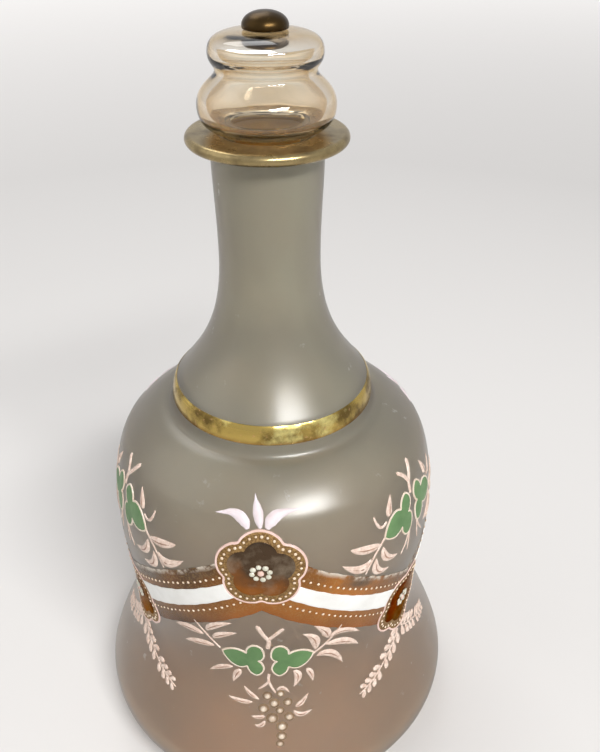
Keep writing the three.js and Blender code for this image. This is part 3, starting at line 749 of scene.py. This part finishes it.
def leaflet(base, middle, tip, width):
    """A curled leaf in one stroke: round at its base, full, and drawn out to a point."""
    line = []
    for t in (0, 0.1, 0.24, 0.4, 0.56, 0.72, 0.87, 1):
        full = math.sin(math.pi * t ** LEAFLET_FULL) ** LEAFLET_FULL
        line.append((*along_leaf(base, middle, tip, t), LEAFLET_POINT + LEAFLET_HALF * width * full))
    return line


def vein(base, middle, tip, width):
    """The brown line inside a leaflet."""
    return [(*along_leaf(base, middle, tip, t), share * width)
            for t, share in ((0.14, 0.1), (0.3, 0.26), (0.46, 0.34), (0.62, 0.22), (0.78, 0.06))]


def twig(*points, width=0.42, end=0.6):
    """A stem with a round end."""
    line = [(*p, width * (1 if k < len(points) - 1 else end)) for k, p in enumerate(points)]
    ahead = np.subtract(points[-1], points[-2]) / math.dist(points[-1], points[-2])
    return line + [(*(points[-1] + width * end * ahead), 0.3 * width * end)]


HIGH_LEAFLETS = [
    ((-20.8, 7.3), (-26, 7.9), (-31.9, 5.9), 1.15),
    ((-17.4, 3.1), (-22.7, 2.3), (-28.7, -0.3), 1),
    ((-19.5, 10.2), (-16.1, 14.3), (-10.5, 17.6), 1),
    ((-17.6, 7.2), (-14.2, 10.3), (-9.3, 12.8), 0.95),
    ((19.2, 7.6), (18.2, 11.7), (14.5, 15.8), 1.15),
    ((15.3, 3), (14.7, 8.9), (11.1, 12.3), 1.2),
    ((20.2, 7.6), (24.5, 8.9), (31.1, 4), 1),
    ((18.7, 4.3), (25, 2.9), (31.1, -2.4), 1.2),
    ((15.8, -0.3), (20.7, -1), (25.2, -7.6), 1.15),
    ((-11.5, -5.2), (-15.6, -6.6), (-19.6, -9.4), 0.75),
    ((-8.9, -5.8), (-10.3, -8.2), (-11.5, -11.6), 0.9),
    ((8.1, -5.8), (9.7, -8.3), (8.2, -12.7), 0.95),
    ((12.4, -5.7), (13.9, -8), (14.5, -11.6), 0.75),
    ((-2.9, -17.4), (-5.8, -15.4), (-7.8, -12.8), 0.55),
    ((-4.9, -18.6), (-8.8, -18.7), (-12.7, -17.8), 0.6),
    ((-1, -23.5), (-2.9, -24.1), (-5.2, -23.8), 0.5),
    ((-1, -25.2), (-2.3, -27), (-4, -26.8), 0.5),
    ((8.4, -20.3), (10.5, -19.1), (12.8, -16), 0.6),
    ((7.8, -21.8), (10.1, -23.5), (13.4, -22.5), 0.6),
    ((2.7, -13.7), (4.7, -12.9), (6.8, -14.9), 0.5),
]
HIGH_TWIGS = [
    twig((-15.5, 2.9), (-19.3, 7.6), (-23.3, 13.4)),
    twig((14.8, 1.3), (19.2, 5.5), (23.6, 12.3)),
    twig((0.2, 6.2), (0.5, 10.1), (-0.9, 12.8), (-2.6, 17.2), width=0.72, end=1.1),
    twig((0.5, 10.6), (2.5, 13.2), (4.8, 16.1), width=0.7, end=0.9),
    twig((0.3, -6.7), (0.1, -9.8), (0.9, -12), (2.2, -14.5), width=0.5),
    twig((0.1, -10.2), (-1.2, -11.8), (-2.9, -13.1), width=0.5),
]
HALF_LEAFLETS = [
    ((-16.2, -3.6), (-22.2, -2.6), (-27.2, -0.4), 1.15),
    ((-20.2, -7), (-23.6, -9.2), (-29.9, -5.2), 1.25),
    ((-15.4, -5), (-13.8, -10.2), (-8.8, -12.2), 1),
    ((-18, -8), (-17.6, -13.2), (-12.8, -15), 1.05),
    ((-11.8, 4.4), (-11.7, 6.4), (-9.9, 10.6), 0.95),
]
HALF_TWIGS = [
    twig((-14.8, -2.2), (-18.6, -6.4), (-22, -12)),
    twig((-13.5, 3), (-15.6, 2.2), (-17, 3.6), (-18.2, 6.8), width=0.5),
    twig((-2.6, -6.6), (-4, -10), (-6.8, -14), width=0.4),
    twig((-2.4, -6.8), (-2.8, -11), (-3.4, -14.6), width=0.36),
]
LOW_TWIGS = [
    twig((-0.3, 5.6), (0.2, 9.2), (1.8, 11.2), (4, 14.6), width=0.72, end=1.1),
    twig((0.2, 9.4), (-1.2, 12), (-3.3, 14), width=0.7, end=0.9),
]


def with_mirrored(lines):
    return lines + [[(-x, y, w) for x, y, w in line] for line in lines]


high_lines = HIGH_TWIGS + [leaflet(*given) for given in HIGH_LEAFLETS]
high_art = strokes("Spray with grapes artwork", high_lines, 0.34, False, 4)
high_veins = strokes("Grape spray veins artwork", [vein(*given) for given in HIGH_LEAFLETS], 0.3)
half_low = HALF_TWIGS + [leaflet(*given) for given in HALF_LEAFLETS]
low_art = strokes("Spray over medallion artwork", with_mirrored(half_low) + LOW_TWIGS, 0.34)
low_veins = strokes("Spray veins artwork", with_mirrored([vein(*given) for given in HALF_LEAFLETS]), 0.3)
for art in (high_veins, low_veins):
    set_points(art, points_of(art) + (0, 0, VEIN_LIFT))

# %% Draw the fronds
FROND_LINE = [(1, -14.6), (4.6, -17.4), (8.6, -19.6), (12.4, -21.9), (16, -23.9), (19.4, -25.3),
              (22.6, -26.4)]
stem = [np.array(q) for q in through(FROND_LINE, 3) + FROND_LINE[-1:]]
frond_half = [twig(*(tuple(q) for q in stem[::3]), width=0.34)]
FROND_LEAF = ((0, 0, 0.15), (0.7, 1.1, 0.7), (1.5, 1.9, 1), (2.3, 2.4, 0.45))
FROND_PAIRS, FROND_SIZE, FROND_TAPER = 8, 1.38, 0.035
for k in range(2 * FROND_PAIRS):
    j = round(k * (len(stem) - 3) / (2 * FROND_PAIRS - 1))
    ahead = (stem[j + 2] - stem[j]) / math.dist(stem[j + 2], stem[j])
    out = (-1) ** k * np.array([-ahead[1], ahead[0]])
    size = FROND_SIZE - FROND_TAPER * k
    frond_half.append([(*(stem[j] + along * size * ahead + across * size * out), width * size)
                       for along, across, width in FROND_LEAF])
frond_art = strokes("Fronds artwork", with_mirrored(frond_half), 0.34, False, 4)

# %% Lay the sprays, fronds and grapes
GRAPES = [(-0.3, -15.8, 1.1), (3.9, -15, 0.9), (1.8, -18.6, 1.2), (6.1, -18.4, 1.05), (-1.5, -20.7, 1.2),
          (3.6, -21.4, 0.95), (1.2, -24.2, 1.3), (6.4, -23.8, 1.1), (4.1, -27.2, 1.25), (3.9, -30.7, 1.1),
          (3.4, -33.4, 0.85)]
grape = bead("Grape", 1, 0.75, 14, 8)
grape_art = dotted("Grapes artwork", grape, GRAPES)
# A brown ground under each grape: partly brown paint and partly painted shade round it.
grape_seat = bead("Grape seat", 1.45, 0.16, 16, 4)
seat_art = dotted("Grape seats artwork", grape_seat, GRAPES)
SPRAYS = {
    1: [(high_art, "Spray", "spray"), (high_veins, "Spray_veins", "vein"), (grape_art, "Grapes", "grape"),
        (seat_art, "Grape_seats", "seat")],
    -1: [(low_art, "Spray", "spray"), (low_veins, "Spray_veins", "vein")],
}
for place, u, v, side in medallions:
    for art, label, kind in SPRAYS[side]:
        finish_piece(laid(art, f"{label}_{place}", *bay_middle(u, v, side)), kind)
    if side < 0:
        finish_piece(laid(frond_art, f"Fronds_{place}", u, v), "spray")
flat = [o for o in bpy.data.objects if o.name.endswith("artwork")]
for art in flat + [small_bead, flower_bead, grape, grape_seat]:
    bpy.data.objects.remove(art)
print("the artwork is laid, and the flat copies are gone")

# %% [markdown]
# ## Materials
# Every finish is made of nodes and read in the object's own space, so that it stays on the piece from every
# side. Effects that several finishes share are node groups: rubbed and glint patches, fine grain and slow
# waves.


# %% Build the shared effects
def add(tree, kind, inputs=None, **settings):
    """Adds a node. Each input is given a value or the output that feeds it."""
    made = tree.nodes.new(kind)
    for key, value in settings.items():
        setattr(made, key, value)
    for key, value in (inputs or {}).items():
        if isinstance(value, bpy.types.NodeSocket):
            tree.links.new(value, made.inputs[key])
        else:
            made.inputs[key].default_value = value
    return made


def calc(tree, operation, *values, clamp=False):
    given = dict(enumerate(values))
    return add(tree, "ShaderNodeMath", given, operation=operation, use_clamp=clamp).outputs[0]


def noise_from(tree, scale, detail=4, rough=0.55):
    place = add(tree, "ShaderNodeTexCoord").outputs["Object"]
    given = {"Vector": place, "Scale": scale, "Detail": detail, "Roughness": rough}
    return add(tree, "ShaderNodeTexNoise", given).outputs["Fac"]


def ranged(tree, value, low, high, to_low=0, to_high=1):
    given = {"Value": value, "From Min": low, "From Max": high, "To Min": to_low, "To Max": to_high}
    return add(tree, "ShaderNodeMapRange", given).outputs["Result"]


def new_group(name, output, **inputs):
    made = bpy.data.node_groups.new(name, "ShaderNodeTree")
    for label, value in inputs.items():
        made.interface.new_socket(label, in_out="INPUT", socket_type="NodeSocketFloat").default_value = value
    made.interface.new_socket(output, in_out="OUTPUT", socket_type="NodeSocketFloat")
    return made, made.nodes.new("NodeGroupInput").outputs, made.nodes.new("NodeGroupOutput").inputs[output]


patches, into, mask = new_group("Rubbed and glint patches", "Mask", Scale=60, Amount=0.5, Softness=0.08)
edge = calc(patches, "SUBTRACT", 1, into["Amount"])
far = calc(patches, "ADD", edge, into["Softness"])
patches.links.new(ranged(patches, noise_from(patches, into["Scale"], 7, 0.62), edge, far), mask)

grain, into, mask = new_group("Fine grain", "Mask", Scale=1500, Low=0.35, High=0.65)
grain.links.new(ranged(grain, noise_from(grain, into["Scale"], 3, 0.6), into["Low"], into["High"]), mask)

waves, into, rise = new_group("Slow waves", "Height", Scale=40)
waves.links.new(noise_from(waves, into["Scale"], 2, 0.4), rise)
print("three effects are ready")


# %% Helpers for finishes
class Finish:
    """A material with one Principled shader, and short ways to feed it."""

    def __init__(self, name, **plain):
        self.material = bpy.data.materials.new(name)
        self.material.use_nodes = True
        self.tree = self.material.node_tree
        self.shader = self.tree.nodes["Principled BSDF"]
        for label, value in plain.items():
            self.shader.inputs[label.replace("_", " ")].default_value = value

    def effect(self, group, **values):
        return add(self.tree, "ShaderNodeGroup", values, node_tree=group).outputs[0]

    def noise(self, scale, detail=4):
        return noise_from(self.tree, scale, detail)

    def ranged(self, value, *bounds):
        return ranged(self.tree, value, *bounds)

    def mix(self, mask, first, second, most=1):
        """Goes from the first colour to the second where the mask says so, and at most that far."""
        mask = mask if most == 1 else self.ranged(mask, 0, 1, 0, most)
        first, second = ((*c, 1) if isinstance(c, tuple) else c for c in (first, second))
        return add(self.tree, "ShaderNodeMix", {0: mask, 6: first, 7: second}, data_type="RGBA").outputs[2]

    def feed(self, label, value):
        self.tree.links.new(value, self.shader.inputs[label])

    def colour(self, *given):
        self.feed("Base Color", self.mix(*given))

    def rough(self, mask, low, high):
        self.feed("Roughness", self.ranged(mask, 0, 1, low, high))

    def bump(self, height, distance, strength=1):
        given = {"Height": height, "Distance": distance, "Strength": strength}
        before = self.shader.inputs["Normal"].links
        if before:
            given["Normal"] = before[0].from_socket
        self.feed("Normal", add(self.tree, "ShaderNodeBump", given).outputs["Normal"])

    def wavy(self, scale, distance, strength):
        self.bump(self.effect(waves, Scale=scale), distance, strength)

    def height(self):
        place = add(self.tree, "ShaderNodeTexCoord").outputs["Object"]
        return add(self.tree, "ShaderNodeSeparateXYZ", {0: place}).outputs["Z"]

    def graze(self):
        return add(self.tree, "ShaderNodeLayerWeight", {"Blend": 0.5}).outputs["Facing"]

    def on(self, *pieces):
        for piece in pieces:
            piece.data.materials.clear()
            piece.data.materials.append(self.material)
        print(self.material.name, "is on", len(pieces), "pieces")


# %% [markdown]
# ### Glass
# The etched skin scatters what is behind it, so it is rough and only partly clear, grey with a taupe cast.
# Its warmer foot is a painted warm reflection from below, and its sides are darkened as painted shade where
# one looks along the skin. The stopper is polished and clear, and its amber tint gathers at the edges,
# where one looks through more glass.

# %% Frost the vessel
frost = Finish("Frosted glass", Transmission_Weight=0.8, IOR=1.45, Coat_Weight=0.3, Coat_Roughness=0.24)
# Warmer towards the foot: a painted warm reflection from below.
tone = frost.mix(frost.ranged(frost.height(), 0.045, 0.125), (0.79, 0.55, 0.37), (0.6, 0.58, 0.46))
cloud = frost.ranged(frost.noise(32), 0.34, 0.66, 0, 0.45)
tone = frost.mix(cloud, tone, (0.55, 0.47, 0.36))
# Darker at the grazing sides: painted shade.
tone = frost.mix(frost.ranged(frost.graze(), 0.2, 0.75, 0, 0.85), tone, (0.2, 0.155, 0.1))
scuff = frost.effect(patches, Scale=150, Amount=0.34, Softness=0.04)
frost.colour(scuff, tone, (0.88, 0.87, 0.81), 0.7)
frost.feed("Roughness", frost.ranged(frost.effect(waves, Scale=18), 0.3, 0.7, 0.29, 0.34))
frost.wavy(26, 0.0006, 0.5)
frost.bump(frost.effect(grain, Scale=2600), 0.00002, 0.4)
frost.on(vessel)

# %% Polish the stopper and grind its peg
clear = Finish("Clear amber glass", Transmission_Weight=1, IOR=1.5, Roughness=0.03)
tone = clear.mix(clear.ranged(clear.graze(), 0.2, 0.7), (0.95, 0.92, 0.84), (0.56, 0.34, 0.12))
tone = clear.mix(clear.ranged(clear.height(), 0.2085, 0.2185, 1, 0), tone, (0.85, 0.55, 0.22))
streak = clear.ranged(clear.noise(60, 3), 0.45, 0.7, 0, 0.5)
clear.colour(streak, tone, (0.88, 0.68, 0.4))
clear.wavy(45, 0.0012, 0.5)
clear.on(stopper)
ground = Finish("Ground glass", Base_Color=(0.84, 0.83, 0.79, 1), Transmission_Weight=0.25, IOR=1.5,
                Roughness=0.5)
ground.bump(ground.effect(grain, Scale=2200), 0.00004, 0.6)
stopper.data.materials.append(ground.material)
fitted = [f for f in stopper.data.polygons if f.center.z < (LIP_TOP - 0.5) * MM]
fitted = [f for f in fitted if f.normal.xy.dot(f.center.xy) > 0.1 * MM]
for face in fitted:
    face.material_index = 1
print(len(fitted), "faces of the peg are ground")

# %% [markdown]
# ### Gold
# The gold on the lip and collar is burnished and rubbed in patches, and the collar's bright patches are
# painted glints. The lip's and the knob's gold is darkened, partly its own dull tone and partly a painted
# dark reflection. The ribbon's gold is copper-brown: grainy near the beads, with a worn pale line along its
# upper edge. It is more orange on the right of each high medallion and browner on the left: painted light
# and shade, as from a lamp on the right.

# %% Burnish the collar
gold = Finish("Rubbed gold with painted glints", Metallic=1)
rubbed = gold.effect(patches, Scale=75, Amount=0.54, Softness=0.14)
painted_glints = gold.effect(patches, Scale=52, Amount=0.44, Softness=0.1)
# Dark patches: rubbed gold, and in part a painted dark reflection.
tone = gold.mix(rubbed, (0.5, 0.36, 0.1), (0.15, 0.1, 0.03))
# Bright patches: painted glints.
tone = gold.mix(painted_glints, tone, (0.82, 0.72, 0.28))
# Darker towards the band's foot, where it curves under: painted shade.
foot = gold.ranged(gold.height(), RING_HEIGHT * MM, (RING_HEIGHT + 1.6) * MM, 0.8, 0)
tone = gold.mix(foot, tone, (0.26, 0.13, 0.04))
speckle = gold.effect(grain, Scale=900, Low=0.62, High=0.72)
gold.colour(speckle, tone, (0.7, 0.4, 0.2), 0.5)
gold.rough(rubbed, 0.16, 0.4)
gold.wavy(110, 0.0006, 0.6)
gold.on(ring_gold)

# %% Dull the lip's gold and darken the knob
dull = Finish("Dull lip gold with painted shade", Metallic=1)
rubbed = dull.effect(patches, Scale=90, Amount=0.52, Softness=0.2)
# The lip's gold is darkened, partly its own dull tone and partly a painted dark reflection.
dull.colour(rubbed, (0.34, 0.26, 0.125), (0.14, 0.1, 0.05))
dull.rough(rubbed, 0.27, 0.36)
dull.wavy(110, 0.0004, 0.5)
dull.on(lip_gold)
dark = Finish("Dark knob gold with painted shade", Metallic=1)
rubbed = dark.effect(patches, Scale=120, Amount=0.46, Softness=0.2)
# The knob's gold is darkened, partly its own dark bronze and partly a painted dark reflection; its rubbed
# patches are lighter.
dark.colour(rubbed, (0.05, 0.03, 0.011), (0.21, 0.14, 0.047))
dark.rough(rubbed, 0.34, 0.22)
dark.wavy(160, 0.0006, 0.7)
dark.on(knob)

# %% Colour the ribbon
copper = Finish("Copper-brown ribbon gold")
grid_map = add(copper.tree, "ShaderNodeUVMap").outputs["UV"]
grid_map = add(copper.tree, "ShaderNodeSeparateXYZ", {0: grid_map}).outputs
# More orange on the right of each high medallion and browner on the left: painted light and shade, as from a
# lamp on the right.
painted_side_light = calc(copper.tree, "MULTIPLY", grid_map["X"], 2 * math.pi * REPEATS)
painted_side_light = calc(copper.tree, "MULTIPLY_ADD", calc(copper.tree, "SINE", painted_side_light), 0.2, copper.noise(24))
mottle = copper.ranged(painted_side_light, 0.34, 0.78)
tone = copper.mix(mottle, (0.065, 0.032, 0.013), (0.47, 0.175, 0.036))
speck = copper.effect(grain, Scale=1500, Low=0.5, High=0.62)
tone = copper.mix(speck, tone, (0.46, 0.31, 0.12), 0.3)
low_edge = copper.ranged(grid_map["Y"], 0.16, 0.02, 0, 0.7)
tone = copper.mix(low_edge, tone, copper.mix(mottle, (0.05, 0.024, 0.01), (0.49, 0.155, 0.025)))


def edge_mask(low, high, **patch):
    """A strip under the ribbon's upper edge, worn away in patches."""
    strip = copper.ranged(grid_map["Y"], low, high)
    return calc(copper.tree, "MULTIPLY", strip, copper.effect(patches, **patch))


thin = edge_mask(0.74, 0.86, Scale=36, Amount=0.62, Softness=0.2)
tone = copper.mix(thin, tone, (0.125, 0.095, 0.068))
worn = edge_mask(0.91, 0.985, Scale=300, Amount=0.58, Softness=0.14)
copper.colour(worn, tone, (0.56, 0.49, 0.4))
copper.feed("Metallic", copper.ranged(worn, 0, 1, 0.8, 0.1))
copper.rough(speck, 0.34, 0.55)
copper.bump(speck, 0.00004, 0.6)
copper.on(ribbon)

# %% Gild the medallions
matt = Finish("Grainy medallion gold", Metallic=0.75, Roughness=0.5)
speck = matt.effect(grain, Scale=1700, Low=0.42, High=0.6)
matt.colour(speck, (0.19, 0.105, 0.04), (0.36, 0.22, 0.08))
matt.bump(speck, 0.00006, 0.8)
matt.on(*painted["band"])
burnished = Finish("Burnished medallion gold", Metallic=1, Specular_Tint=(0.5, 0.3, 0.18, 1))
glow = burnished.ranged(burnished.noise(46), 0.48, 0.68)
tone = burnished.mix(glow, (0.085, 0.055, 0.034), (0.31, 0.115, 0.032))
pewter = burnished.effect(patches, Scale=62, Amount=0.54, Softness=0.14)
burnished.colour(pewter, tone, (0.32, 0.255, 0.185), 0.65)
burnished.rough(burnished.effect(grain, Scale=700), 0.13, 0.28)
burnished.wavy(150, 0.0004, 0.5)
burnished.on(*painted["field"])

# %% [markdown]
# ### Enamel
# Enamel is coloured glass powder fired on the surface. It is opaque and softly glossy, never quite even, and
# the beads are darker round their feet: painted shade.


# %% Colour the enamels
def enamel(name, light, shade, roughness=0.35, scale=260, foot=None, shade_top=0.6):
    """Foot is the colour of the painted shade round a bead's foot; the shade fades out up the bead."""
    made = Finish(name)
    thick = made.ranged(made.noise(scale), 0.3, 0.68)
    tone = made.mix(thick, shade, light)
    if foot:
        rise = add(made.tree, "ShaderNodeAttribute", attribute_name="Rise").outputs["Fac"]
        # Darker round the bead's foot: painted shade.
        tone = made.mix(made.ranged(rise, 0.1, shade_top), foot, tone)
    made.feed("Base Color", tone)
    made.rough(thick, roughness + 0.15, roughness)
    made.wavy(900, 0.00008, 0.5)
    return made


# The colours of the painted shade round the feet of the beads and the grapes.
BEAD_SHADE, GRAPE_SHADE = (0.16, 0.08, 0.04), (0.2, 0.12, 0.07)
ENAMELS = {
    "stripe": ("White stripe enamel", (0.84, 0.84, 0.81), (0.74, 0.73, 0.69), 0.4, 120),
    "rim": ("Pink rim enamel", (0.84, 0.62, 0.56), (0.68, 0.46, 0.38)),
    "outline": ("Cream outline enamel", (0.8, 0.7, 0.58), (0.66, 0.52, 0.4)),
    "beads": ("Bead enamel", (0.88, 0.74, 0.57), (0.74, 0.56, 0.38), 0.25, 500, BEAD_SHADE),
    "flower": ("Flower enamel", (0.7, 0.69, 0.58), (0.5, 0.48, 0.36), 0.12, 600, BEAD_SHADE),
    "flower_heart": ("Flower heart enamel", (0.8, 0.58, 0.5), (0.62, 0.4, 0.32), 0.2, 500, BEAD_SHADE),
    "feathers": ("Feather enamel", (0.76, 0.68, 0.71), (0.66, 0.55, 0.54), 0.4, 200),
    "spray": ("Spray enamel", (0.82, 0.67, 0.57), (0.58, 0.41, 0.32), 0.4, 700),
    "vein": ("Brown vein enamel", (0.42, 0.25, 0.17), (0.22, 0.12, 0.08), 0.4, 500),
    "grape": ("Grape enamel", (0.84, 0.74, 0.6), (0.52, 0.38, 0.27), 0.2, 420, GRAPE_SHADE, 0.95),
    "seat": ("Brown grape ground with painted shade", (0.27, 0.175, 0.095), (0.15, 0.09, 0.045), 0.4, 420),
    "leaf": ("Green leaf enamel", (0.112, 0.23, 0.078), (0.078, 0.168, 0.056), 0.42, 150),
}
for kind, given in ENAMELS.items():
    enamel(*given).on(*painted[kind])

# %% [markdown]
# ## Floor and light
# A wide pale floor fills the view. The main light is a long soft box in front, above and to the right, as
# the highlights on the cone and the shoulder show. It has a narrow spread, so that the floor under it isn't
# burnt out. A larger, weaker one fills the left side, and a third stands high behind. Far from the object
# the floor and the sky are pale only to the eye, in metal and through glass, so that they add no light.

# %% Lay the floor
def seen(tree):
    """1 for rays from the camera, off a gloss or through glass, and 0 for the rest."""
    rays = add(tree, "ShaderNodeLightPath").outputs
    direct = calc(tree, "ADD", rays["Is Camera Ray"], rays["Is Glossy Ray"], clamp=True)
    return calc(tree, "ADD", direct, rays["Is Transmission Ray"], clamp=True)


deselect()
bpy.ops.mesh.primitive_plane_add(size=8, location=(0, 0, -0.0002))
floor = named("Floor")
pale = Finish("Pale floor", Base_Color=(0.71, 0.69, 0.67, 1), Roughness=0.8,
              Emission_Color=(1, 0.98, 0.96, 1))
place = add(pale.tree, "ShaderNodeTexCoord").outputs["Object"]
away = add(pale.tree, "ShaderNodeVectorMath", {0: place}, operation="LENGTH").outputs["Value"]
glow = calc(pale.tree, "MULTIPLY", pale.ranged(away, 0.6, 1.7, 0, 0.48), seen(pale.tree))
pale.feed("Emission Strength", glow)
pale.on(floor)


# %% Set the lights and the sky
def soft_box(name, where, size, power, spread=180):
    deselect()
    bpy.ops.object.light_add(type="AREA", location=where)
    lamp = named(name)
    lamp.data.shape, lamp.data.size, lamp.data.size_y = "RECTANGLE", *size
    lamp.data.energy, lamp.data.spread = power, math.radians(spread)
    lamp.rotation_euler = (Vector((0, 0, 0.12)) - Vector(where)).to_track_quat("-Z", "Y").to_euler()


soft_box("Key light", (0.58, -1, 1.18), (0.8, 0.16), 7.6, 100)
soft_box("Left fill", (-1.4, -0.3, 1.1), (1.6, 1.6), 5)
soft_box("Back light", (-0.5, 1, 1.75), (1.2, 0.8), 11)
world = bpy.data.worlds.new("Studio")
bpy.context.scene.world = world
world.use_nodes = True
sky = world.node_tree
sky.nodes["Background"].inputs["Color"].default_value = (0.97, 0.975, 1, 1)
sky.links.new(ranged(sky, seen(sky), 0, 1, 0.34, 0.76), sky.nodes["Background"].inputs["Strength"])
bpy.context.scene.view_settings.view_transform = "Standard"
print("the floor, three lights and the sky are set")
